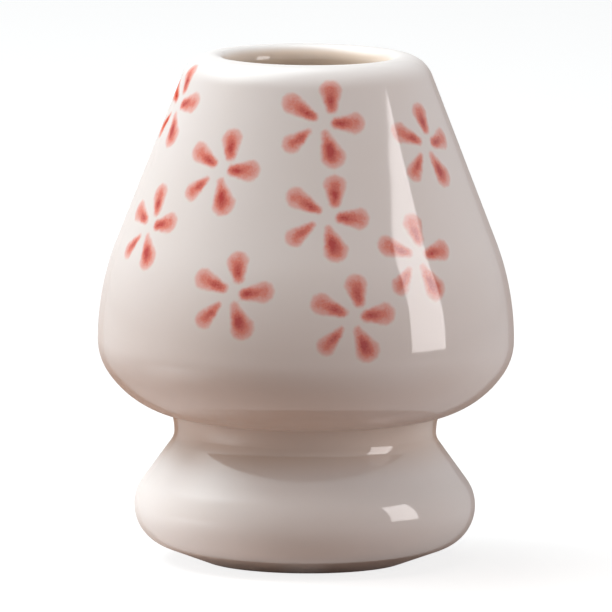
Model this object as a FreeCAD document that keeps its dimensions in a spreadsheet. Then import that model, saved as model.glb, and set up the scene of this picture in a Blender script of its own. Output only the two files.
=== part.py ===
import FreeCAD, Part

import math
import os

import Sketcher

# Tea whisk holder: a hollow porcelain bell, luted with slip to a flared, hollow foot.
# Lengths are in millimetres. The origin is the centre of the resting ring and +Z is up.

# Driving dimensions: alias, value and meaning.
SIZES = [
    ("wall", 3.5, "thickness of both cast walls"),
    ("neck_radius", 19.5, "outside radius of the neck at its narrowest"),
    ("foot_height", 19.2, "height of the foot, from the resting ring to the neck"),
    ("foot_radius", 25.4, "outside radius of the foot at its widest"),
    ("foot_shoulder_round", 6.3, "radius of the curve above the foot's widest circle"),
    ("neck_round", 2.6, "radius of the hollow curve that brings the flare to the neck"),
    ("heel_height", 8.2, "height of the foot's widest circle"),
    ("heel_round", 6.2, "radius of the curve under the foot's widest circle"),
    ("floor_height", 5.2, "height of the foot's inside floor"),
    ("ring_radius", 15.0, "outside radius of the resting ring"),
    ("ring_width", 2.8, "width of the resting ring's face"),
    ("ring_break", 0.3, "round on both edges of the resting ring"),
    ("recess_depth", 1.5, "depth of the recess inside the resting ring"),
    ("recess_round", 0.8, "round between the recess's wall and its roof"),
    ("seam_height", 2.7, "height of the slip that joins foot and bell"),
    ("crease_reach", 0.45, "how far the slip spreads past the neck under the bell"),
    ("bell_height", 53.6, "height of the bell, from its seat to the top of its lip"),
    ("bell_radius", 31.0, "outside radius of the bell at its widest"),
    ("belly_height", 11.1, "height of the bell's widest circle above its seat"),
    ("underside_round", 15.0, "radius of the curve from the bell's seat to its belly"),
    ("belly_round", 8.5, "radius of the curve under the bell's widest circle"),
    ("flank_round", 40.5, "radius of the curve above the bell's widest circle"),
    ("lip_round", 4.8, "radius of the lip's outer curve"),
    ("mouth_radius", 11.9, "radius of the mouth"),
    ("mouth_round", 2.2, "radius of the curve from the top of the lip into the mouth"),
    ("mouth_depth", 4.8, "depth of the mouth, from the top of the lip to its lower edge"),
    ("mouth_break", 0.6, "round on the mouth's lower edge"),
    ("corner_round", 1.4, "round inside the bell between its ceiling and its slope"),
    ("throat_round", 2.2, "round where the inside of the bell turns down into the neck"),
]

RADIAL = "DistanceX"
HEIGHT = "DistanceY"
START_INDEX = 1
END_INDEX = 2
CENTRE_INDEX = 3
RADIAL_AXIS_INDEX = -1
ORIGIN = (RADIAL_AXIS_INDEX, START_INDEX)
FULL_TURN = 360.0
SAME_PLACE = 1e-4


def make_sheet(doc):
    """Writes the driving dimensions to the sheet and gives their values by name."""
    sheet = doc.addObject("Spreadsheet::Sheet", "sizes")
    for row, (alias, value, meaning) in enumerate(SIZES, start=1):
        sheet.set(f"A{row}", str(value))
        sheet.setAlias(f"A{row}", alias)
        sheet.set(f"B{row}", meaning)
    doc.recompute()
    return {alias: float(sheet.get(alias)) for alias, _, _ in SIZES}


def add_body(doc, name):
    body = doc.addObject("PartDesign::Body", name)
    body.Label = name
    return body


def add_section(body, name):
    """A sketch on the body's upright plane: radius across, height up."""
    sketch = body.newObject("Sketcher::SketchObject", name)
    for plane in body.Origin.OriginFeatures:
        if plane.Role == "XZ_Plane":
            sketch.AttachmentSupport = [(plane, "")]
    sketch.MapMode = "FlatFace"
    return Section(sketch)


def turn(body, section, kind, name):
    """Turns a section through a full circle about the body's upright axis."""
    feature = body.newObject(kind, name)
    feature.Profile = section.sketch
    feature.ReferenceAxis = (section.sketch, ["V_Axis"])
    feature.Angle = FULL_TURN
    body.Document.recompute()
    return feature


def round_circles(body, base, circles, size_name, name):
    """Rounds the edges that lie on the given circles, each a radius and a height."""
    names = []
    for number, edge in enumerate(base.Shape.Edges, start=1):
        for radius, height in circles:
            if on_circle(edge, radius, height):
                names.append(f"Edge{number}")
    feature = body.newObject("PartDesign::Fillet", name)
    feature.Base = (base, names)
    feature.setExpression("Radius", f"sizes.{size_name}")
    body.Document.recompute()
    return feature


def on_circle(edge, radius, height):
    if not isinstance(edge.Curve, Part.Circle):
        return False
    across = abs(edge.Curve.Radius - radius)
    above = abs(edge.Curve.Center.z - height)
    return across < SAME_PLACE and above < SAME_PLACE


def polar(centre, radius, angle):
    return (centre[0] + radius * math.cos(angle), centre[1] + radius * math.sin(angle))


def lean_between(centre, radius, far_centre, far_radius, side):
    """Direction in which a line that touches two circles faces.

    The side is 1 where both circles lie behind the line and -1 where the far one is ahead.
    """
    direction = math.atan2(far_centre[1] - centre[1], far_centre[0] - centre[0])
    apart = math.dist(centre, far_centre)
    return direction - math.acos((radius - side * far_radius) / apart)


class Section:
    """A closed half section, drawn as a chain of lines and arcs and then constrained."""

    def __init__(self, sketch):
        self.sketch = sketch
        self.edges = {}

    def line(self, name, start, end):
        index = self.sketch.addGeometry(
            Part.LineSegment(FreeCAD.Vector(*start, 0), FreeCAD.Vector(*end, 0)), False
        )
        self.edges[name] = (index, START_INDEX, END_INDEX)

    def arc(self, name, centre, radius, from_angle, to_angle):
        """An arc that the chain follows from one angle to the other, in either sense."""
        circle = Part.Circle(FreeCAD.Vector(*centre, 0), FreeCAD.Vector(0, 0, 1), radius)
        low, high = sorted((from_angle, to_angle))
        index = self.sketch.addGeometry(Part.ArcOfCircle(circle, low, high), False)
        if from_angle < to_angle:
            self.edges[name] = (index, START_INDEX, END_INDEX)
        else:
            self.edges[name] = (index, END_INDEX, START_INDEX)

    def rule(self, kind, *places):
        return self.sketch.addConstraint(Sketcher.Constraint(kind, *places))

    def edge(self, name):
        return self.edges[name][0]

    def first(self, name):
        index, start, _ = self.edges[name]
        return index, start

    def last(self, name):
        index, _, end = self.edges[name]
        return index, end

    def centre(self, name):
        return self.edges[name][0], CENTRE_INDEX

    def meet(self, *names):
        """Each edge ends where the next one starts."""
        for before, after in zip(names[:-1], names[1:]):
            self.rule("Coincident", *self.last(before), *self.first(after))

    def flow(self, *names):
        """Each edge runs into the next one without a corner."""
        for before, after in zip(names[:-1], names[1:]):
            self.rule("Tangent", *self.last(before), *self.first(after))

    def upright(self, *names):
        for name in names:
            self.rule("Vertical", self.edge(name))

    def level(self, *names):
        for name in names:
            self.rule("Horizontal", self.edge(name))

    def concentric(self, name, other):
        self.rule("Coincident", *self.centre(name), *self.centre(other))

    def place(self, direction, point, value, formula, name):
        """Dimensions a point's distance from the origin, along one axis."""
        self.bind(self.rule(direction, *ORIGIN, *point, value), formula, name)

    def radius(self, edge_name, value, formula):
        index = self.rule("Radius", self.edge(edge_name), value)
        self.bind(index, formula, f"{edge_name}_arc")

    def bind(self, index, formula, name):
        self.sketch.renameConstraint(index, name)
        self.sketch.setExpression(f"Constraints.{name}", formula)


def make_foot(doc, size):
    """The lower casting: a flared, hollow foot with a closed floor and a resting ring."""
    body = add_body(doc, "foot")
    bore = size["neck_radius"] - size["wall"]
    inner_radius = size["foot_radius"] - size["wall"]
    heel_height = size["heel_height"]
    floor_height = size["floor_height"]
    top = size["foot_height"]

    ring_edge = (size["ring_radius"], 0)
    heel = (size["foot_radius"] - size["heel_round"], heel_height)
    shoulder = (size["foot_radius"] - size["foot_shoulder_round"], heel_height)
    neck = (size["neck_radius"] + size["neck_round"], top)
    inner_heel_round = heel_height - floor_height
    inner_heel = (inner_radius - inner_heel_round, heel_height)
    inner_shoulder_round = size["foot_shoulder_round"] - size["wall"]
    inner_neck_round = size["neck_round"] + size["wall"]

    flare = lean_between(shoulder, size["foot_shoulder_round"], neck, size["neck_round"], -1)
    flare_back = flare + math.pi
    towards_heel = math.atan2(heel[1] - ring_edge[1], heel[0] - ring_edge[0])
    opening = math.asin(size["heel_round"] / math.dist(ring_edge, heel))
    bevel = towards_heel - opening - math.pi / 2

    outline = add_section(body, "foot_section")
    outline.line("base", (0, 0), ring_edge)
    outline.line("bevel", ring_edge, polar(heel, size["heel_round"], bevel))
    outline.arc("heel", heel, size["heel_round"], bevel, 0)
    outline.arc("shoulder", shoulder, size["foot_shoulder_round"], 0, flare)
    outline.line(
        "flare",
        polar(shoulder, size["foot_shoulder_round"], flare),
        polar(neck, size["neck_round"], flare_back),
    )
    outline.arc("neck", neck, size["neck_round"], flare_back, math.pi)
    outline.line("top", (size["neck_radius"], top), (bore, top))
    outline.arc("inner_neck", neck, inner_neck_round, math.pi, flare_back)
    outline.line(
        "inner_flare",
        polar(neck, inner_neck_round, flare_back),
        polar(shoulder, inner_shoulder_round, flare),
    )
    outline.arc("inner_shoulder", shoulder, inner_shoulder_round, flare, 0)
    outline.arc("inner_heel", inner_heel, inner_heel_round, 0, -math.pi / 2)
    outline.line("floor", (inner_heel[0], floor_height), (0, floor_height))
    outline.line("axis", (0, floor_height), (0, 0))

    outline.meet("axis", "base", "bevel")
    outline.flow("bevel", "heel", "shoulder", "flare", "neck")
    outline.meet("neck", "top", "inner_neck")
    outline.flow("inner_neck", "inner_flare", "inner_shoulder", "inner_heel", "floor")
    outline.meet("floor", "axis")
    outline.rule("Coincident", *outline.first("base"), *ORIGIN)
    outline.upright("axis")
    outline.level("base", "top", "floor")
    outline.rule("Horizontal", *outline.centre("heel"), *outline.last("heel"))
    outline.rule("Horizontal", *outline.centre("neck"), *outline.last("neck"))
    outline.rule("Horizontal", *outline.centre("inner_heel"), *outline.first("inner_heel"))
    outline.concentric("inner_neck", "neck")
    outline.concentric("inner_shoulder", "shoulder")

    outline.place(RADIAL, outline.last("base"), size["ring_radius"], "sizes.ring_radius", "ring")
    outline.place(
        RADIAL, outline.last("heel"), size["foot_radius"], "sizes.foot_radius", "widest"
    )
    outline.place(
        HEIGHT, outline.last("heel"), heel_height, "sizes.heel_height", "widest_height"
    )
    outline.place(
        RADIAL, outline.last("neck"), size["neck_radius"], "sizes.neck_radius", "narrowest"
    )
    outline.place(HEIGHT, outline.last("neck"), top, "sizes.foot_height", "top_height")
    outline.place(
        RADIAL, outline.last("top"), bore, "sizes.neck_radius - sizes.wall", "bore"
    )
    outline.place(
        RADIAL,
        outline.first("inner_heel"),
        inner_radius,
        "sizes.foot_radius - sizes.wall",
        "inner_widest",
    )
    outline.place(
        HEIGHT, outline.first("axis"), floor_height, "sizes.floor_height", "floor_level"
    )
    outline.radius("heel", size["heel_round"], "sizes.heel_round")
    outline.radius("shoulder", size["foot_shoulder_round"], "sizes.foot_shoulder_round")
    outline.radius("neck", size["neck_round"], "sizes.neck_round")
    solid = turn(body, outline, "PartDesign::Revolution", "foot_turned")

    # The underside is cut back inside the resting ring.
    recess_radius = size["ring_radius"] - size["ring_width"]
    depth = size["recess_depth"]
    recess = add_section(body, "recess_section")
    recess.line("mouth", (0, 0), (recess_radius, 0))
    recess.line("wall", (recess_radius, 0), (recess_radius, depth))
    recess.line("roof", (recess_radius, depth), (0, depth))
    recess.line("axis", (0, depth), (0, 0))
    recess.meet("mouth", "wall", "roof", "axis", "mouth")
    recess.rule("Coincident", *recess.first("mouth"), *ORIGIN)
    recess.level("mouth", "roof")
    recess.upright("wall", "axis")
    recess.place(
        RADIAL,
        recess.last("mouth"),
        recess_radius,
        "sizes.ring_radius - sizes.ring_width",
        "recess_radius",
    )
    recess.place(HEIGHT, recess.last("wall"), depth, "sizes.recess_depth", "recess_depth")
    cut = turn(body, recess, "PartDesign::Groove", "foot_recess")

    rounded = round_circles(
        body, cut, [(recess_radius, depth)], "recess_round", "foot_recess_round"
    )
    round_circles(
        body,
        rounded,
        [(recess_radius, 0), (size["ring_radius"], 0)],
        "ring_break",
        "foot_ring_rounds",
    )
    return body


def make_seam(doc, size):
    """The slip between foot and bell, wiped to a hollow band that widens under the bell."""
    body = add_body(doc, "neck_seam")
    body.setExpression("Placement.Base.z", "sizes.foot_height")
    bore = size["neck_radius"] - size["wall"]
    narrow = size["neck_radius"]
    wide = size["neck_radius"] + size["crease_reach"]
    rise = size["seam_height"]
    reach = size["crease_reach"]
    band_round = (rise**2 + reach**2) / (2 * reach)
    band = (narrow + band_round, 0)
    band_top = math.pi - math.asin(rise / band_round)

    outline = add_section(body, "seam_section")
    outline.line("base", (bore, 0), (narrow, 0))
    outline.arc("band", band, band_round, math.pi, band_top)
    outline.line("top", (wide, rise), (bore, rise))
    outline.line("bore", (bore, rise), (bore, 0))
    outline.meet("base", "band", "top", "bore", "base")
    outline.rule("PointOnObject", *outline.first("base"), RADIAL_AXIS_INDEX)
    outline.level("base", "top")
    outline.upright("bore")
    outline.rule("Horizontal", *outline.centre("band"), *outline.first("band"))
    outline.place(
        RADIAL, outline.first("base"), bore, "sizes.neck_radius - sizes.wall", "bore"
    )
    outline.place(RADIAL, outline.last("base"), narrow, "sizes.neck_radius", "narrowest")
    outline.place(
        RADIAL,
        outline.last("band"),
        wide,
        "sizes.neck_radius + sizes.crease_reach",
        "crease",
    )
    outline.place(HEIGHT, outline.last("band"), rise, "sizes.seam_height", "top_height")
    turn(body, outline, "PartDesign::Revolution", "seam_turned")
    return body


def make_bell(doc, size):
    """The upper casting: a hollow bell with a round belly, a leaning flank and a rolled lip."""
    body = add_body(doc, "bell")
    body.setExpression("Placement.Base.z", "sizes.foot_height + sizes.seam_height")
    wall = size["wall"]
    bore = size["neck_radius"] - wall
    seat = size["neck_radius"] + size["crease_reach"]
    widest = size["bell_radius"]
    rise = size["belly_height"]
    crest_height = size["bell_height"]
    ceiling_height = crest_height - size["mouth_depth"]
    mouth_radius = size["mouth_radius"]
    under_round = size["underside_round"]
    belly_round = size["belly_round"]
    flank_round = size["flank_round"]

    # The underside's curve starts at the edge of the seat and touches the belly's curve.
    seat_edge = (seat, 0)
    belly = (widest - belly_round, rise)
    reach = math.dist(seat_edge, belly)
    gap = under_round - belly_round
    spread = math.acos((reach**2 + under_round**2 - gap**2) / (2 * reach * under_round))
    towards_belly = math.atan2(belly[1], belly[0] - seat)
    under = polar(seat_edge, under_round, towards_belly + spread)
    under_start = math.atan2(-under[1], seat - under[0])
    under_end = math.atan2(belly[1] - under[1], belly[0] - under[0])
    flank = (widest - flank_round, rise)
    crest_radius = mouth_radius + size["mouth_round"]
    lip = (crest_radius, crest_height - size["lip_round"])
    slope = lean_between(flank, flank_round, lip, size["lip_round"], 1)
    mouth = (crest_radius, crest_height - size["mouth_round"])
    lower_edge = (mouth_radius + size["mouth_break"], ceiling_height + size["mouth_break"])

    # The corner inside touches the ceiling and the slope.
    slope_reach = flank[0] * math.cos(slope) + flank[1] * math.sin(slope) + flank_round - wall
    corner_height = ceiling_height - size["corner_round"]
    corner_reach = slope_reach - size["corner_round"] - corner_height * math.sin(slope)
    corner = (corner_reach / math.cos(slope), corner_height)

    # The throat's curve touches the inside of the underside and the bore.
    throat_radius = bore + size["throat_round"]
    apart = under_round - wall + size["throat_round"]
    drop = math.sqrt(apart**2 - (under[0] - throat_radius) ** 2)
    throat = (throat_radius, under[1] - drop)
    throat_turn = math.atan2(-drop, throat_radius - under[0])

    outline = add_section(body, "bell_section")
    outline.line("seat", (bore, 0), seat_edge)
    outline.arc("underside", under, under_round, under_start, under_end)
    outline.arc("belly", belly, belly_round, under_end, 0)
    outline.arc("flank", flank, flank_round, 0, slope)
    outline.line("slope", polar(flank, flank_round, slope), polar(lip, size["lip_round"], slope))
    outline.arc("lip", lip, size["lip_round"], slope, math.pi / 2)
    outline.arc("mouth", mouth, size["mouth_round"], math.pi / 2, math.pi)
    outline.line("land", (mouth_radius, mouth[1]), (mouth_radius, lower_edge[1]))
    outline.arc("lower_edge", lower_edge, size["mouth_break"], math.pi, 3 * math.pi / 2)
    outline.line("ceiling", (lower_edge[0], ceiling_height), (corner[0], ceiling_height))
    outline.arc("corner", corner, size["corner_round"], math.pi / 2, slope)
    outline.line(
        "inner_slope",
        polar(corner, size["corner_round"], slope),
        polar(flank, flank_round - wall, slope),
    )
    outline.arc("inner_flank", flank, flank_round - wall, slope, 0)
    outline.arc("inner_belly", belly, belly_round - wall, 0, under_end)
    outline.arc("inner_underside", under, under_round - wall, under_end, throat_turn)
    outline.arc("throat", throat, size["throat_round"], throat_turn + math.pi, math.pi)
    outline.line("bore", (bore, throat[1]), (bore, 0))

    outline.meet("bore", "seat", "underside")
    outline.flow("underside", "belly", "flank", "slope", "lip", "mouth", "land")
    outline.flow("land", "lower_edge", "ceiling", "corner", "inner_slope", "inner_flank")
    outline.flow("inner_flank", "inner_belly", "inner_underside", "throat", "bore")
    outline.rule("PointOnObject", *outline.first("seat"), RADIAL_AXIS_INDEX)
    outline.level("seat", "ceiling")
    outline.upright("land", "bore")
    outline.rule("Horizontal", *outline.centre("belly"), *outline.last("belly"))
    outline.rule("Vertical", *outline.centre("lip"), *outline.last("lip"))
    outline.rule("Parallel", outline.edge("inner_slope"), outline.edge("slope"))
    outline.concentric("inner_flank", "flank")
    outline.concentric("inner_belly", "belly")
    outline.concentric("inner_underside", "underside")

    outline.place(
        RADIAL, outline.first("seat"), bore, "sizes.neck_radius - sizes.wall", "bore"
    )
    outline.place(
        RADIAL,
        outline.last("seat"),
        seat,
        "sizes.neck_radius + sizes.crease_reach",
        "seat_edge",
    )
    outline.place(RADIAL, outline.last("belly"), widest, "sizes.bell_radius", "widest")
    outline.place(
        HEIGHT, outline.last("belly"), rise, "sizes.belly_height", "widest_height"
    )
    outline.place(HEIGHT, outline.last("lip"), crest_height, "sizes.bell_height", "crest_height")
    outline.place(RADIAL, outline.first("land"), mouth_radius, "sizes.mouth_radius", "mouth_wall")
    outline.place(
        HEIGHT,
        outline.first("ceiling"),
        ceiling_height,
        "sizes.bell_height - sizes.mouth_depth",
        "ceiling_height",
    )
    outline.place(
        RADIAL,
        outline.last("inner_flank"),
        widest - wall,
        "sizes.bell_radius - sizes.wall",
        "inner_widest",
    )
    outline.radius("underside", under_round, "sizes.underside_round")
    outline.radius("belly", belly_round, "sizes.belly_round")
    outline.radius("flank", flank_round, "sizes.flank_round")
    outline.radius("lip", size["lip_round"], "sizes.lip_round")
    outline.radius("mouth", size["mouth_round"], "sizes.mouth_round")
    outline.radius("lower_edge", size["mouth_break"], "sizes.mouth_break")
    outline.radius("corner", size["corner_round"], "sizes.corner_round")
    outline.radius("throat", size["throat_round"], "sizes.throat_round")
    turn(body, outline, "PartDesign::Revolution", "bell_turned")
    return body


def check(doc):
    """Stops the build if a sketch is loose or an object is broken."""
    for item in doc.Objects:
        if "Invalid" in item.State or "Error" in item.State:
            raise RuntimeError(f"{item.Name} is not valid: {item.State}")
        if item.isDerivedFrom("Sketcher::SketchObject") and not item.FullyConstrained:
            raise RuntimeError(f"{item.Name} is not fully constrained")
        if item.isDerivedFrom("Part::Feature"):
            if item.Shape.isNull() or not item.Shape.isValid():
                raise RuntimeError(f"{item.Name} has no valid shape")


def main():
    doc = FreeCAD.newDocument("whisk_holder")
    size = make_sheet(doc)
    bodies = [make_foot(doc, size), make_seam(doc, size), make_bell(doc, size)]
    doc.recompute()
    check(doc)
    os.makedirs("parts", exist_ok=True)
    for body in bodies:
        body.Shape.exportStep(f"parts/{body.Label}.step")
        box = body.Shape.optimalBoundingBox(False)
        print(f"{body.Label}: z {box.ZMin:.3f} to {box.ZMax:.3f}, radius {box.XMax:.3f}")


main()
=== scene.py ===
import math
import random

import bpy
import numpy as np
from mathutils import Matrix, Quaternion, Vector


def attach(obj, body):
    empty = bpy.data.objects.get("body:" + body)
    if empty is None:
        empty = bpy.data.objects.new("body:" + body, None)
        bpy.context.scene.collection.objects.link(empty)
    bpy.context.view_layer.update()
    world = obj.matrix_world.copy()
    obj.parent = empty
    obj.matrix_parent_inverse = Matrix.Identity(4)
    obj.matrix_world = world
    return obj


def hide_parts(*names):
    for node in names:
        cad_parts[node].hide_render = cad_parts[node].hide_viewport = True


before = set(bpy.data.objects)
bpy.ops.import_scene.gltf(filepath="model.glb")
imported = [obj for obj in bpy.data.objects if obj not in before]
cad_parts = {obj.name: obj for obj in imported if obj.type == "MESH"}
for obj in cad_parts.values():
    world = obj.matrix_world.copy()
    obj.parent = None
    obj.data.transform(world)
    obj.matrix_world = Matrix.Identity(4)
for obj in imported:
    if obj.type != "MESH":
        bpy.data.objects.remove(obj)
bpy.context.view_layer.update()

# The object's lengths are in millimetres, and MM turns them into metres. Points closer than
# TOUCH are one point.
MM = 0.001
TOUCH = 0.001

# The form, as the solids have it.
WALL = 3.5
NECK_RADIUS = 19.5
FOOT_HEIGHT = 19.2
FOOT_RADIUS = 25.4
FOOT_SHOULDER_ROUND = 6.3
NECK_ROUND = 2.6
HEEL_HEIGHT = 8.2
HEEL_ROUND = 6.2
FLOOR_HEIGHT = 5.2
RING_RADIUS = 15.0
RING_WIDTH = 2.8
RING_BREAK = 0.3
RECESS_DEPTH = 1.5
RECESS_ROUND = 0.8
SEAM_HEIGHT = 2.7
CREASE_REACH = 0.45
BELL_HEIGHT = 53.6
BELL_RADIUS = 31.0
BELLY_HEIGHT = 11.1
UNDERSIDE_ROUND = 15.0
BELLY_ROUND = 8.5
FLANK_ROUND = 40.5
LIP_ROUND = 4.8
MOUTH_RADIUS = 11.9
MOUTH_ROUND = 2.2
MOUTH_DEPTH = 4.8
MOUTH_BREAK = 0.6
CORNER_ROUND = 1.4
THROAT_ROUND = 2.2
BORE_RADIUS = NECK_RADIUS - WALL
SEAT_RADIUS = NECK_RADIUS + CREASE_REACH
BELL_BASE = FOOT_HEIGHT + SEAM_HEIGHT

QUARTER = math.pi / 2
SEGMENTS = 400
FINE_STEP = 0.4
COARSE_STEP = 1.2
LEAST_STEPS = 4
SHARP_ANGLE = math.radians(35)


def polar(centre, radius, angle):
    return (centre[0] + radius * math.cos(angle), centre[1] + radius * math.sin(angle))


def arc(centre, radius, start, end, step):
    """Points along an arc, both ends included."""
    count = max(LEAST_STEPS, math.ceil(radius * abs(end - start) / step))
    return [polar(centre, radius, start + (end - start) * i / count) for i in range(count + 1)]


def line(start, end, step):
    count = max(1, math.ceil(math.dist(start, end) / step))
    shares = [i / count for i in range(count + 1)]
    return [tuple(a + (b - a) * share for a, b in zip(start, end)) for share in shares]


def chain(*runs):
    """Joins runs of points, without the points that two runs share."""
    points = []
    for point in (p for run in runs for p in run):
        if not points or math.dist(points[-1], point) > TOUCH:
            points.append(point)
    return points


def lean_between(centre, radius, far_centre, far_radius, side):
    """Direction in which a line that touches two circles faces."""
    direction = math.atan2(far_centre[1] - centre[1], far_centre[0] - centre[0])
    apart = math.dist(centre, far_centre)
    return direction - math.acos((radius - side * far_radius) / apart)


def raised(points, height):
    return [(r, z + height) for r, z in points]


def foot_outline():
    """From the middle of the recess, out over the foot and in to the middle of its floor."""
    recess_radius = RING_RADIUS - RING_WIDTH
    ring_edge = (RING_RADIUS, 0)
    heel = (FOOT_RADIUS - HEEL_ROUND, HEEL_HEIGHT)
    shoulder = (FOOT_RADIUS - FOOT_SHOULDER_ROUND, HEEL_HEIGHT)
    neck = (NECK_RADIUS + NECK_ROUND, FOOT_HEIGHT)
    inner_heel_round = HEEL_HEIGHT - FLOOR_HEIGHT
    inner_heel = (FOOT_RADIUS - WALL - inner_heel_round, HEEL_HEIGHT)
    flare = lean_between(shoulder, FOOT_SHOULDER_ROUND, neck, NECK_ROUND, -1)
    towards_heel = math.atan2(heel[1] - ring_edge[1], heel[0] - ring_edge[0])
    bevel = towards_heel - math.asin(HEEL_ROUND / math.dist(ring_edge, heel)) - QUARTER
    roof = (recess_radius - RECESS_ROUND, RECESS_DEPTH - RECESS_ROUND)
    inner_lip = (recess_radius + RING_BREAK, RING_BREAK)
    return chain(
        line((0, RECESS_DEPTH), (roof[0], RECESS_DEPTH), COARSE_STEP),
        arc(roof, RECESS_ROUND, QUARTER, 0, FINE_STEP),
        arc(inner_lip, RING_BREAK, 2 * QUARTER, 3 * QUARTER, FINE_STEP),
        line((inner_lip[0], 0), ring_edge, FINE_STEP),
        line(ring_edge, polar(heel, HEEL_ROUND, bevel), FINE_STEP),
        arc(heel, HEEL_ROUND, bevel, 0, FINE_STEP),
        arc(shoulder, FOOT_SHOULDER_ROUND, 0, flare, FINE_STEP),
        arc(neck, NECK_ROUND, flare + math.pi, math.pi, FINE_STEP),
        line((NECK_RADIUS, FOOT_HEIGHT), (BORE_RADIUS, FOOT_HEIGHT), COARSE_STEP),
        arc(neck, NECK_ROUND + WALL, math.pi, flare + math.pi, COARSE_STEP),
        arc(shoulder, FOOT_SHOULDER_ROUND - WALL, flare, 0, COARSE_STEP),
        arc(inner_heel, inner_heel_round, 0, -QUARTER, COARSE_STEP),
        line((inner_heel[0], FLOOR_HEIGHT), (0, FLOOR_HEIGHT), COARSE_STEP),
    )


def seam_outline():
    band_round = (SEAM_HEIGHT**2 + CREASE_REACH**2) / (2 * CREASE_REACH)
    band_top = math.pi - math.asin(SEAM_HEIGHT / band_round)
    band = (NECK_RADIUS + band_round, 0)
    points = chain(
        line((BORE_RADIUS, 0), (NECK_RADIUS, 0), COARSE_STEP),
        arc(band, band_round, math.pi, band_top, FINE_STEP),
        line((SEAT_RADIUS, SEAM_HEIGHT), (BORE_RADIUS, SEAM_HEIGHT), COARSE_STEP),
        line((BORE_RADIUS, SEAM_HEIGHT), (BORE_RADIUS, 0), COARSE_STEP),
    )
    return raised(points[:-1], FOOT_HEIGHT)


def bell_outlines():
    """The outside, from the seat to the top of the lip, and the inside, from there to the bore."""
    seat_edge = (SEAT_RADIUS, 0)
    belly = (BELL_RADIUS - BELLY_ROUND, BELLY_HEIGHT)
    reach = math.dist(seat_edge, belly)
    gap = UNDERSIDE_ROUND - BELLY_ROUND
    spread = math.acos((reach**2 + UNDERSIDE_ROUND**2 - gap**2) / (2 * reach * UNDERSIDE_ROUND))
    towards_belly = math.atan2(belly[1], belly[0] - SEAT_RADIUS)
    under = polar(seat_edge, UNDERSIDE_ROUND, towards_belly + spread)
    under_start = math.atan2(-under[1], SEAT_RADIUS - under[0])
    under_end = math.atan2(belly[1] - under[1], belly[0] - under[0])
    flank = (BELL_RADIUS - FLANK_ROUND, BELLY_HEIGHT)
    crest = MOUTH_RADIUS + MOUTH_ROUND
    lip = (crest, BELL_HEIGHT - LIP_ROUND)
    slope = lean_between(flank, FLANK_ROUND, lip, LIP_ROUND, 1)
    outside = chain(
        line((BORE_RADIUS, 0), seat_edge, COARSE_STEP),
        arc(under, UNDERSIDE_ROUND, under_start, under_end, FINE_STEP),
        arc(belly, BELLY_ROUND, under_end, 0, FINE_STEP),
        arc(flank, FLANK_ROUND, 0, slope, FINE_STEP),
        line(polar(flank, FLANK_ROUND, slope), polar(lip, LIP_ROUND, slope), FINE_STEP),
        arc(lip, LIP_ROUND, slope, QUARTER, FINE_STEP),
    )

    ceiling = BELL_HEIGHT - MOUTH_DEPTH
    mouth = (crest, BELL_HEIGHT - MOUTH_ROUND)
    edge = (MOUTH_RADIUS + MOUTH_BREAK, ceiling + MOUTH_BREAK)
    slope_reach = flank[0] * math.cos(slope) + flank[1] * math.sin(slope) + FLANK_ROUND - WALL
    corner_height = ceiling - CORNER_ROUND
    corner_reach = slope_reach - CORNER_ROUND - corner_height * math.sin(slope)
    corner = (corner_reach / math.cos(slope), corner_height)
    inner_round = FLANK_ROUND - WALL
    throat_radius = BORE_RADIUS + THROAT_ROUND
    apart = UNDERSIDE_ROUND - WALL + THROAT_ROUND
    drop = math.sqrt(apart**2 - (under[0] - throat_radius) ** 2)
    throat_turn = math.atan2(-drop, throat_radius - under[0])
    throat = (throat_radius, under[1] - drop)
    inside = chain(
        arc(mouth, MOUTH_ROUND, QUARTER, 2 * QUARTER, FINE_STEP),
        arc(edge, MOUTH_BREAK, 2 * QUARTER, 3 * QUARTER, FINE_STEP),
        arc(corner, CORNER_ROUND, QUARTER, slope, FINE_STEP),
        line(polar(corner, CORNER_ROUND, slope), polar(flank, inner_round, slope), COARSE_STEP),
        arc(flank, inner_round, slope, 0, COARSE_STEP),
        arc(belly, BELLY_ROUND - WALL, 0, under_end, COARSE_STEP),
        arc(under, UNDERSIDE_ROUND - WALL, under_end, throat_turn, COARSE_STEP),
        arc(throat, THROAT_ROUND, throat_turn + math.pi, math.pi, FINE_STEP),
        line((BORE_RADIUS, throat[1]), (BORE_RADIUS, 0), COARSE_STEP),
    )
    return raised(outside, BELL_BASE), raised(inside[1:-1], BELL_BASE)


# The hand-turned form is a few hundredths of a millimetre out of round, never wider than it
# should be: waves round the axis, how far each leans as it rises in radians a millimetre,
# where it starts, and its size as a share of the radius.
OUT_OF_ROUND = [
    (2, 0.011, 0.9, 0.0009),
    (3, -0.023, 2.3, 0.0007),
    (5, 0.041, 4.1, 0.0004),
    (9, -0.06, 1.2, 0.00018),
]


def out_of_round(azimuth, height):
    share = np.full_like(azimuth, 1 - sum(size for *_, size in OUT_OF_ROUND))
    for waves, lean, phase, size in OUT_OF_ROUND:
        share += size * np.sin(waves * azimuth + lean * height + phase)
    return share


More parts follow.
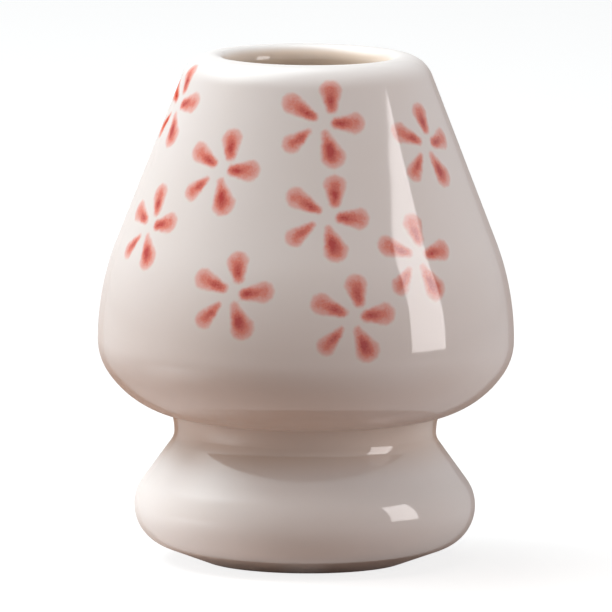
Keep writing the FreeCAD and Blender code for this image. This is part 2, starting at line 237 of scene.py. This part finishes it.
def turned(name, points, closed):
    """A mesh turned about the upright axis. Azimuth 0 faces -Y and grows towards +X."""
    azimuths = np.arange(SEGMENTS) * 2 * math.pi / SEGMENTS
    vertices = []
    rings = []
    for radius, height in points:
        start = len(vertices)
        if radius < TOUCH:
            vertices.append((0, 0, height * MM))
            rings.append([start] * SEGMENTS)
            continue
        across = radius * MM * out_of_round(azimuths, np.full(SEGMENTS, height))
        x, y = across * np.sin(azimuths), -across * np.cos(azimuths)
        vertices.extend(zip(x, y, [height * MM] * SEGMENTS))
        rings.append(list(range(start, start + SEGMENTS)))
    pairs = list(zip(rings[:-1], rings[1:]))
    if closed:
        pairs.append((rings[-1], rings[0]))
    faces = []
    for low, high in pairs:
        for i in range(SEGMENTS):
            j = (i + 1) % SEGMENTS
            corners = dict.fromkeys((low[i], low[j], high[j], high[i]))
            faces.append(tuple(corners))
    mesh = bpy.data.meshes.new(name)
    mesh.from_pydata(vertices, [], faces)
    mesh.shade_smooth()
    mesh.set_sharp_from_angle(angle=SHARP_ANGLE)
    piece = bpy.data.objects.new(name, mesh)
    bpy.context.collection.objects.link(piece)
    return piece


# The blossoms. Each petal runs from a tip to a rounder end: x and y right and up from the
# blossom's middle, radius there, then where its dark pool lies as a share of its run, how far
# the pool lies to its side, and how dark it is.
PETALS = [
    ((1.28, 2.35, 0.92), (1.22, 4.72, 1.68), 0.35, -0.10, 0.85),
    ((2.00, -0.12, 0.88), (4.75, -0.24, 1.60), 0.15, 0.00, 0.92),
    ((0.12, -1.70, 0.58), (1.10, -5.00, 1.85), 0.72, 0.25, 1.00),
    ((-2.25, -1.25, 0.42), (-4.80, -3.20, 1.40), 0.45, -0.20, 0.80),
    ((-1.35, 1.05, 0.68), (-4.35, 2.85, 1.60), 0.28, -0.05, 0.92),
]
POOL_LENGTH = 1.5
POOL_WIDTH = 0.95
FAR_OUTSIDE = -3.0

# Each blossom: azimuth in degrees, height of its middle, turn in degrees. The first nine are
# those of the photograph, and the others carry the pattern round the side that it doesn't show.
BLOSSOMS = [
    (-72.8, 68.6, 15),
    (-33.0, 60.5, 8),
    (-60.2, 51.4, 12),
    (6.8, 67.7, 0),
    (53.5, 63.7, 10),
    (6.8, 54.4, 0),
    (-21.5, 43.2, 12),
    (13.5, 40.0, 12),
    (36.0, 48.2, 13),
    (109.0, 46.5, 6),
    (116.0, 65.5, -8),
    (136.0, 52.5, 12),
    (158.0, 66.0, 4),
    (161.0, 41.5, -10),
    (-176.0, 54.0, 9),
    (-160.0, 67.0, 15),
    (-150.0, 43.0, -4),
    (-135.0, 57.0, 2),
    (-115.0, 66.5, -12),
    (-112.0, 44.5, 10),
]
BRUSH_SEED = 7
WANDER = 0.10
TURN_WANDER = math.radians(3)


def petal_fields(x, y, rng):
    """How deep each point lies inside a blossom's petals, in millimetres, and how dark it is."""
    depth = np.full(x.shape, FAR_OUTSIDE)
    pool = np.zeros(x.shape)
    for tip, end, pool_share, pool_side, pool_dark in PETALS:
        moved = [rng.uniform(-WANDER, WANDER) for _ in range(4)]
        ax, ay = tip[0] + moved[0], tip[1] + moved[1]
        bx, by = end[0] + moved[2], end[1] + moved[3]
        length = math.hypot(bx - ax, by - ay)
        along_x, along_y = (bx - ax) / length, (by - ay) / length
        along = (x - ax) * along_x + (y - ay) * along_y
        aside = (x - ax) * along_y - (y - ay) * along_x
        held = np.clip(along, 0, length)
        width = tip[2] + (end[2] - tip[2]) * held / length
        inside = width - np.hypot(along - held, aside)
        near = inside > depth
        dark = pool_dark * np.exp(
            -(((along - pool_share * length) / POOL_LENGTH) ** 2)
            - ((aside - pool_side) / POOL_WIDTH) ** 2
        )
        depth = np.where(near, inside, depth)
        pool = np.where(near, dark, pool)
    return depth, pool


def paint_blossoms(piece, outside):
    """Writes the petals to the bell as two fields, which its material turns into paint."""
    rng = random.Random(BRUSH_SEED)
    mesh = piece.data
    spots = np.empty(len(mesh.vertices) * 3)
    mesh.vertices.foreach_get("co", spots)
    x, y, _ = (spots.reshape(-1, 3) / MM).T
    outer_count = len(outside) * SEGMENTS
    radius = np.hypot(x, y)
    azimuth = np.arctan2(x, -y)
    steps = [math.dist(a, b) for a, b in zip(outside[:-1], outside[1:])]
    travelled = np.concatenate([[0.0], np.cumsum(steps)])
    heights = np.array([point[1] for point in outside])
    travel = np.repeat(travelled, SEGMENTS)
    depth = np.full(len(x), FAR_OUTSIDE)
    pool = np.zeros(len(x))
    rising = np.nonzero(np.diff(heights) > 0)[0][0]
    for degrees, height, turn_degrees in BLOSSOMS:
        middle = np.interp(height, heights[rising:], travelled[rising:])
        turn = math.radians(turn_degrees) + rng.uniform(-TURN_WANDER, TURN_WANDER)
        offset = azimuth[:outer_count] - math.radians(degrees)
        offset = (offset + math.pi) % (2 * math.pi) - math.pi
        across = radius[:outer_count] * offset
        up = travel - middle
        local_x = across * math.cos(turn) + up * math.sin(turn)
        local_y = up * math.cos(turn) - across * math.sin(turn)
        inside, dark = petal_fields(local_x, local_y, rng)
        near = inside > depth[:outer_count]
        depth[:outer_count] = np.where(near, inside, depth[:outer_count])
        pool[:outer_count] = np.where(near, dark, pool[:outer_count])
    for name, values in (("petal_depth", depth), ("petal_pool", pool)):
        field = mesh.attributes.new(name, "FLOAT", "POINT")
        field.data.foreach_set("value", values.astype(np.float32))


class Nodes:
    """The node tree of a material, a lamp or the world, with short ways to add and join nodes."""

    def __init__(self, owner):
        owner.use_nodes = True
        self.owner = owner
        self.tree = owner.node_tree
        self.tree.nodes.clear()

    def add(self, kind, **settings):
        node = self.tree.nodes.new(kind)
        for name, value in settings.items():
            setattr(node, name, value)
        return node

    def feed(self, socket, value):
        if isinstance(value, bpy.types.NodeSocket):
            self.tree.links.new(value, socket)
        else:
            socket.default_value = value

    def place(self):
        return self.add("ShaderNodeTexCoord").outputs["Object"]

    def field(self, name):
        return self.add("ShaderNodeAttribute", attribute_name=name).outputs["Fac"]

    def math(self, operation, *values, clamp=False):
        node = self.add("ShaderNodeMath", operation=operation, use_clamp=clamp)
        for socket, value in zip(node.inputs, values):
            self.feed(socket, value)
        return node.outputs[0]

    def fade(self, value, low, high, to_low=0.0, to_high=1.0):
        """A smooth step from one level to another while the value goes from low to high."""
        node = self.add("ShaderNodeMapRange", interpolation_type="SMOOTHSTEP")
        self.feed(node.inputs["Value"], value)
        self.feed(node.inputs["From Min"], low)
        self.feed(node.inputs["From Max"], high)
        self.feed(node.inputs["To Min"], to_low)
        self.feed(node.inputs["To Max"], to_high)
        return node.outputs[0]

    def mix(self, share, first, second):
        node = self.add("ShaderNodeMix", data_type="RGBA")
        self.feed(node.inputs["Factor"], share)
        self.feed(node.inputs["A"], first)
        self.feed(node.inputs["B"], second)
        return node.outputs["Result"]

    def noise(self, place, size, detail):
        """Noise whose lumps are about that many millimetres across."""
        node = self.add("ShaderNodeTexNoise")
        self.feed(node.inputs["Vector"], place)
        self.feed(node.inputs["Scale"], 1 / (size * MM))
        self.feed(node.inputs["Detail"], detail)
        return node.outputs["Fac"]

    def clouds(self, place, size, bounds, most):
        """Soft clouds: none where the noise is below its bounds, and the most of it above."""
        return self.fade(self.noise(place, size, detail=3.0), *bounds, 0.0, most)

    def bump(self, height, strength, depth):
        node = self.add("ShaderNodeBump")
        self.feed(node.inputs["Height"], height)
        node.inputs["Strength"].default_value = strength
        node.inputs["Distance"].default_value = depth * MM
        return node.outputs["Normal"]

    def ceramic(self, colour, normal, roughness):
        node = self.add("ShaderNodeBsdfPrincipled")
        self.feed(node.inputs["Base Color"], colour)
        self.feed(node.inputs["Normal"], normal)
        node.inputs["Roughness"].default_value = roughness
        return node

    def diffuse(self, colour):
        node = self.add("ShaderNodeBsdfDiffuse")
        self.feed(node.inputs["Color"], colour)
        return node.outputs[0]

    def seen_rays(self):
        """1 for rays that show what they meet: from the camera, or by way of gloss or glass."""
        path = self.add("ShaderNodeLightPath")
        shown = self.math("MAXIMUM", path.outputs["Is Camera Ray"], path.outputs["Is Glossy Ray"])
        return self.math("MAXIMUM", shown, path.outputs["Is Transmission Ray"])

    def finish(self, shader, kind="Material"):
        output = self.add("ShaderNodeOutput" + kind)
        self.feed(output.inputs["Surface"], shader)
        return self.owner


def new_material(name):
    return Nodes(bpy.data.materials.new(name))


PORCELAIN = (0.845, 0.814, 0.803, 1.0)
WARM_GLAZE = (0.82, 0.78, 0.75, 1.0)
# Painted shade under the bell's belly: the darker, browner colour round the neck.
NECK_SHADE = (0.68, 0.58, 0.51, 1.0)
# Painted shade inside the bell: darker and warmer than the porcelain.
INNER_SHADE = (0.84, 0.69, 0.56, 1.0)
BARE_CLAY = (0.74, 0.67, 0.58, 1.0)
PALE_PETAL = (0.84, 0.45, 0.40, 1.0)
ROSE_PETAL = (0.77, 0.19, 0.13, 1.0)
DEEP_PETAL = (0.52, 0.012, 0.002, 1.0)

# Heights between which the painted shade under the bell's belly comes in round the neck, and
# between which the painted warm shade inside the bell gives way to the plain colour at the mouth.
NECK_SHADE_HEIGHTS = (14.0, 19.0)
MOUTH_HEIGHTS = (74.2, 75.4)

GLAZE_ROUGHNESS = 0.06
GLAZE_IOR = 1.6
# How far the glaze slants away where its gloss starts and ends to fade towards an outline, and
# the levels of gloss there.
RIM_SLANTS = (0.45, 0.80)
RIM_LEVELS = (0.5, 0.0)

# The glaze's uneven surface: broad swells, a fine ripple on them, and how far both move it.
SWELL_SIZE = 7.0
RIPPLE_SIZE = 1.6
RIPPLE_SHARE = 0.08
SWELL_STRENGTH = 0.35
SWELL_DEPTH = 0.05

# Clouds of warmer glaze: their size, the bounds of the noise that makes them, and their share.
CLOUDS = (14.0, (0.35, 0.7), 0.35)
INNER_CLOUDS = (9.0, (0.3, 0.7), 0.2)

# The paint: the size of its fray and grain, how far it frays, the depths between which it comes
# to cover and between which its wash darkens and from what to what, and what the pools, the
# grain and the fray add to that.
FRAY_SIZE = 0.9
GRAIN_SIZE = 0.28
FRAY_REACH = 0.45
COVER_DEPTHS = (-0.36, 0.36)
WASH_DEPTHS = (0.0, 1.3)
WASH_DARKS = (0.22, 0.55)
POOL_SHARE = 0.55
GRAIN_SHARE = 0.28
FRAY_SHARE = 0.30
PALE_DARK, ROSE_DARK, DEEP_DARK = 0.30, 0.64, 1.0

GRIT_SIZE = 0.3
GRIT_BOUNDS = (0.3, 0.7)
GRIT_STRENGTH = 0.5
GRIT_DEPTH = 0.06
CLAY_ROUGHNESS = 0.75


def glaze(nodes, colour, place):
    """Clear gloss glaze over a colour, with the slight swell that a fired glaze has."""
    swell = nodes.noise(place, SWELL_SIZE, detail=1.0)
    ripple = nodes.noise(place, RIPPLE_SIZE, detail=1.0)
    surface = nodes.math("ADD", swell, nodes.math("MULTIPLY", ripple, RIPPLE_SHARE))
    normal = nodes.bump(surface, SWELL_STRENGTH, SWELL_DEPTH)
    shader = nodes.ceramic(colour, normal, GLAZE_ROUGHNESS)
    shader.inputs["IOR"].default_value = GLAZE_IOR
    slant = nodes.add("ShaderNodeLayerWeight").outputs["Facing"]
    gloss = nodes.fade(slant, *RIM_SLANTS, *RIM_LEVELS)
    nodes.feed(shader.inputs["Specular IOR Level"], gloss)
    return shader.outputs["BSDF"]


def porcelain_colour(nodes, place):
    """Warm white, with faint clouds where the glaze is thicker."""
    return nodes.mix(nodes.clouds(place, *CLOUDS), PORCELAIN, WARM_GLAZE)


def height_fade(nodes, place, heights):
    """0 below the first height and 1 above the second, in millimetres."""
    split = nodes.add("ShaderNodeSeparateXYZ")
    nodes.feed(split.inputs["Vector"], place)
    return nodes.fade(split.outputs["Z"], *(height * MM for height in heights))


def bell_material():
    """Glazed porcelain with the blossoms, whose paint is darkest where it gathered in pools."""
    nodes = new_material("painted_porcelain")
    place = nodes.place()
    fray = nodes.math("SUBTRACT", nodes.noise(place, FRAY_SIZE, detail=3.0), 0.5)
    grain = nodes.math("SUBTRACT", nodes.noise(place, GRAIN_SIZE, detail=2.0), 0.5)
    frayed = nodes.math("MULTIPLY", fray, FRAY_REACH)
    depth = nodes.math("ADD", nodes.field("petal_depth"), frayed)
    cover = nodes.fade(depth, *COVER_DEPTHS)
    dark = nodes.fade(depth, *WASH_DEPTHS, *WASH_DARKS)
    paint_pool_and_neck_shade = nodes.math("MULTIPLY", nodes.field("petal_pool"), POOL_SHARE)
    dark = nodes.math("ADD", dark, paint_pool_and_neck_shade)
    dark = nodes.math("ADD", dark, nodes.math("MULTIPLY", grain, GRAIN_SHARE))
    dark = nodes.math("ADD", dark, nodes.math("MULTIPLY", fray, FRAY_SHARE), clamp=True)
    ramp = nodes.add("ShaderNodeValToRGB")
    nodes.feed(ramp.inputs["Fac"], dark)
    stops = ramp.color_ramp.elements
    stops[0].position, stops[0].color = PALE_DARK, PALE_PETAL
    stops[1].position, stops[1].color = DEEP_DARK, DEEP_PETAL
    stops.new(ROSE_DARK).color = ROSE_PETAL
    colour = nodes.mix(cover, porcelain_colour(nodes, place), ramp.outputs["Color"])
    return nodes.finish(glaze(nodes, colour, place))


def neck_material():
    """Porcelain with painted shade: darker and browner round the neck, under the bell's belly."""
    nodes = new_material("porcelain")
    place = nodes.place()
    # The share of the painted shade under the bell's belly, by height.
    paint_pool_and_neck_shade = height_fade(nodes, place, NECK_SHADE_HEIGHTS)
    colour = nodes.mix(paint_pool_and_neck_shade, porcelain_colour(nodes, place), NECK_SHADE)
    return nodes.finish(glaze(nodes, colour, place))


def inner_material():
    """Painted shade inside the bell: a darker, warmer colour below the roll of the mouth."""
    nodes = new_material("painted_inner_shade")
    place = nodes.place()
    # The painted shade inside, lightened in clouds towards the warm glaze.
    inner_shade = nodes.mix(nodes.clouds(place, *INNER_CLOUDS), INNER_SHADE, WARM_GLAZE)
    rolled = height_fade(nodes, place, MOUTH_HEIGHTS)
    colour = nodes.mix(rolled, inner_shade, porcelain_colour(nodes, place))
    return nodes.finish(glaze(nodes, colour, place))


def clay_material():
    """The unglazed clay of the ring that the foot stands on."""
    nodes = new_material("bare_clay")
    grit = nodes.noise(nodes.place(), GRIT_SIZE, detail=3.0)
    colour = nodes.mix(nodes.fade(grit, *GRIT_BOUNDS), BARE_CLAY, WARM_GLAZE)
    normal = nodes.bump(grit, GRIT_STRENGTH, GRIT_DEPTH)
    return nodes.finish(nodes.ceramic(colour, normal, CLAY_ROUGHNESS).outputs["BSDF"])


def bare_ring(piece):
    """The faces of the resting ring get the second material."""
    inner_radius = RING_RADIUS - RING_WIDTH - RING_BREAK
    for face in piece.data.polygons:
        radius = math.hypot(face.center.x, face.center.y) / MM
        if face.center.z / MM < RING_BREAK / 2 and inner_radius < radius < RING_RADIUS:
            face.material_index = 1


def paint_inner_shade(piece, outer_count):
    """The faces past the outer rings of points get the second material, with the painted shade
    inside.
    """
    for face in piece.data.polygons:
        if min(face.vertices) >= outer_count * SEGMENTS:
            face.material_index = 1


def seat(piece, node, slot, *materials):
    """Puts a piece in the place of its solid, on the part's one body."""
    for material in materials:
        piece.data.materials.append(material)
    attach(piece, "root")
    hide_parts(node)


outside, inside = bell_outlines()
bell = turned("bell_shell", outside + inside, closed=True)
paint_blossoms(bell, outside)
seat(bell, "bell", "porcelain", bell_material(), inner_material())
paint_inner_shade(bell, len(outside))

foot = turned("foot_shell", foot_outline(), closed=False)
# The foot's porcelain carries the painted shade under the bell's belly from its upper flare up.
porcelain = neck_material()
seat(foot, "foot", "porcelain", porcelain, clay_material())
bare_ring(foot)

# The neck band lies wholly within the painted shade under the bell's belly.
seam = turned("neck_band", seam_outline(), closed=True)
seat(seam, "neck_seam", "slip", porcelain)


# From here on, lengths are in metres. The floor is brown to the light that it throws up at the
# porcelain, less so within reach of the foot, and pale where it is seen. The paler patch by the
# foot is a painted pool of light that makes up for the object's shadow on the floor there.
FLOOR_SIZE = 3.0
FLOOR_BROWN = (0.23, 0.125, 0.082, 1.0)
# Painted light: the paler floor near the foot, centred a little to its right, throws more light up
# at the foot.
FLOOR_NEAR = (0.45, 0.34, 0.29, 1.0)
NEAR_MIDDLE = (0.012, 0.0, 0.0)
NEAR_REACH = 0.034
FAR_REACH = 0.054
FLOOR_PALE = (0.30, 0.30, 0.30, 1.0)
FLOOR_GLOW = 0.80
ROOM_LIGHT = (0.02, 0.02, 0.02, 1.0)
WHITE = (1.0, 1.0, 1.0, 1.0)


def floor_material():
    nodes = new_material("floor")
    glow = nodes.add("ShaderNodeEmission")
    glow.inputs["Strength"].default_value = FLOOR_GLOW
    seen = nodes.add("ShaderNodeAddShader")
    nodes.feed(seen.inputs[0], nodes.diffuse(FLOOR_PALE))
    nodes.feed(seen.inputs[1], glow.outputs[0])
    reach = nodes.add("ShaderNodeVectorMath", operation="DISTANCE")
    nodes.feed(reach.inputs[0], nodes.place())
    nodes.feed(reach.inputs[1], NEAR_MIDDLE)
    far = nodes.fade(reach.outputs["Value"], NEAR_REACH, FAR_REACH)
    choice = nodes.add("ShaderNodeMixShader")
    nodes.feed(choice.inputs[0], nodes.seen_rays())
    nodes.feed(choice.inputs[1], nodes.diffuse(nodes.mix(far, FLOOR_NEAR, FLOOR_BROWN)))
    nodes.feed(choice.inputs[2], seen.outputs[0])
    return nodes.finish(choice.outputs[0])


def make_floor():
    half = FLOOR_SIZE / 2
    corners = [(-half, -half, 0), (half, -half, 0), (half, half, 0), (-half, half, 0)]
    mesh = bpy.data.meshes.new("floor")
    mesh.from_pydata(corners, [], [(0, 1, 2, 3)])
    mesh.materials.append(floor_material())
    floor = bpy.data.objects.new("floor", mesh)
    bpy.context.collection.objects.link(floor)


def make_world():
    nodes = Nodes(bpy.data.worlds.new("room"))
    background = nodes.add("ShaderNodeBackground")
    nodes.feed(background.inputs["Color"], nodes.mix(nodes.seen_rays(), ROOM_LIGHT, WHITE))
    bpy.context.scene.world = nodes.finish(background.outputs[0], "World")


# The lamps. They look at the object's middle, but for a small one, which looks straight down at
# the floor beside the foot, and the window. Powers are in watts.
LAMP_DISTANCE = 0.9
MIDDLE = (0.0, 0.0, 0.037)
WARM_LIGHT = (1.0, 0.80, 0.68)
COOL_LIGHT = (0.88, 0.97, 1.0)
ROSY_LIGHT = (1.0, 0.93, 0.89)
FOOT_LAMP = (-0.085, -0.030, 0.020)
PANE_WIDTH = 0.116
PANE_LOW = 0.016
PANE_TOP = 0.213
PANE_AZIMUTH = 69.4
PANE_DISTANCE = 0.30
PANE_POWER = 0.36
PANE_LIGHT = (1.0, 0.95, 0.94)


def look_at(spot, target):
    return (Vector(target) - Vector(spot)).to_track_quat("-Z", "Y")


def around(azimuth, rise, distance=LAMP_DISTANCE):
    """A place that far from the middle of the floor, by degrees round from the front and up."""
    a, e = math.radians(azimuth), math.radians(rise)
    out = distance * math.cos(e)
    return (out * math.sin(a), -out * math.cos(a), distance * math.sin(e))


def area_light(name, spot, target, size, power, colour):
    data = bpy.data.lights.new(name, "AREA")
    data.shape = "RECTANGLE"
    data.size, data.size_y = size
    data.energy = power
    data.color = colour
    lamp = bpy.data.objects.new(name, data)
    lamp.location = spot
    lamp.rotation_euler = look_at(spot, target).to_euler()
    bpy.context.collection.objects.link(lamp)
    return lamp


def soft_light(name, spot, target, size, power, colour):
    """An area light that fades out towards its edges, so that the glaze shows no edge of it."""
    lamp = area_light(name, spot, target, size, power, colour)
    nodes = Nodes(lamp.data)
    place = nodes.add("ShaderNodeSeparateXYZ")
    nodes.feed(place.inputs[0], nodes.add("ShaderNodeNewGeometry").outputs["Parametric"])
    humps = []
    for axis in ("X", "Y"):
        across = nodes.math("MULTIPLY_ADD", place.outputs[axis], 2.0, -1.0)
        hump = nodes.math("SUBTRACT", 1.0, nodes.math("MULTIPLY", across, across))
        humps.append(nodes.math("MULTIPLY", hump, hump))
    emission = nodes.add("ShaderNodeEmission")
    nodes.feed(emission.inputs["Strength"], nodes.math("MULTIPLY", *humps))
    nodes.finish(emission.outputs[0], "Light")
    return lamp


def fill_light(name, spot, target, size, power, colour):
    """A soft light that stands for the room's pale walls, and doesn't show in the glaze."""
    lamp = soft_light(name, spot, target, size, power, colour)
    lamp.visible_glossy = False


def window_pane():
    """The window at the right, whose reflection stands tall on the bell."""
    middle = (PANE_LOW + PANE_TOP) / 2
    x, y, _ = around(PANE_AZIMUTH, 0, PANE_DISTANCE)
    size = (PANE_WIDTH, PANE_TOP - PANE_LOW)
    area_light("window_right", (x, y, middle), (0, 0, middle), size, PANE_POWER, PANE_LIGHT)


make_floor()
make_world()
soft_light("sky_left", around(-120, 60), MIDDLE, size=(1.6, 1.2), power=22.0, colour=COOL_LIGHT)
fill_light("key_left", around(-105, 52), MIDDLE, size=(0.6, 0.5), power=7.6, colour=COOL_LIGHT)
fill_light("ceiling", around(10, 76), MIDDLE, size=(1.2, 0.8), power=6.4, colour=ROSY_LIGHT)
fill_light("wall_left", around(-78, 18), MIDDLE, size=(1.1, 0.55), power=7.6, colour=ROSY_LIGHT)
fill_light("wall_front", around(-45, 60), MIDDLE, size=(0.8, 0.6), power=3.4, colour=WARM_LIGHT)
below = (*FOOT_LAMP[:2], 0.0)
fill_light("foot_left", FOOT_LAMP, below, size=(0.09, 0.08), power=0.19, colour=COOL_LIGHT)
window_pane()


# The camera, placed so that the object lies in the frame as it does in the photograph.
CAMERA_RISE = math.radians(7.5)
CAMERA_DISTANCE = 2.4
CAMERA_ROLL = 0.0068
AIM = Vector((0.0, 0.0, 0.0379))
SENSOR = 36.0
FRAME_WIDTH = 0.09082
CLIP_START = 0.1
CLIP_END = 10.0


def make_camera():
    data = bpy.data.cameras.new("camera")
    data.sensor_width = SENSOR
    data.lens = SENSOR * CAMERA_DISTANCE / FRAME_WIDTH
    data.clip_start = CLIP_START
    data.clip_end = CLIP_END
    camera = bpy.data.objects.new("camera", data)
    away = Vector((0.0, -math.cos(CAMERA_RISE), math.sin(CAMERA_RISE)))
    camera.location = AIM + away * CAMERA_DISTANCE
    turn = look_at(camera.location, AIM) @ Quaternion((0, 0, 1), CAMERA_ROLL)
    camera.rotation_euler = turn.to_euler()
    bpy.context.collection.objects.link(camera)
    bpy.context.scene.camera = camera


make_camera()
bpy.context.scene.view_settings.view_transform = "Standard"
